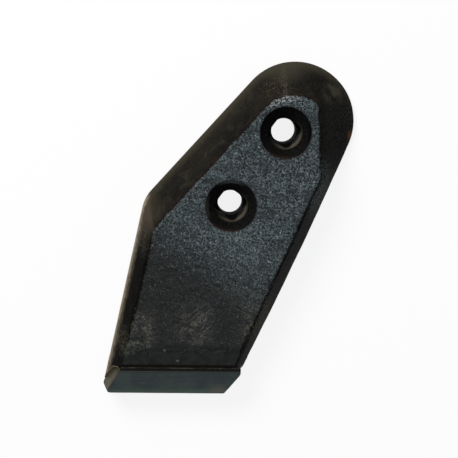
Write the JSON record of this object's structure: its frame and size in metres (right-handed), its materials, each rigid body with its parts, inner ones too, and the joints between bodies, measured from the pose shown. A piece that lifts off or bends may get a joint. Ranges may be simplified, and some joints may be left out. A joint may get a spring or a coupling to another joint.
{
  "type": "plough point",
  "caption": "Replaceable plough nose with round heel, sloping flanks, countersunk square-necked bolt holes in line and a hard bar brazed across the tip.",
  "frame": {"origin": "on the flat back, midway between the two bolt holes", "axes": "+Z out of the soil face, +Y along the line of bolt holes towards the round heel, +X across towards the edge that runs nearly straight from heel to nose"},
  "size_m": [0.0928, 0.1987, 0.025],
  "materials": {
    "body_steel": "dark forged steel, rough scale on the soil face, smooth oiled flanks, light rust",
    "bar_steel": "smooth teal-grey hard steel"
  },
  "bodies": {
    "root": {"point_body": "body_steel", "tip_bar": "bar_steel"}
  },
  "joints": []
}
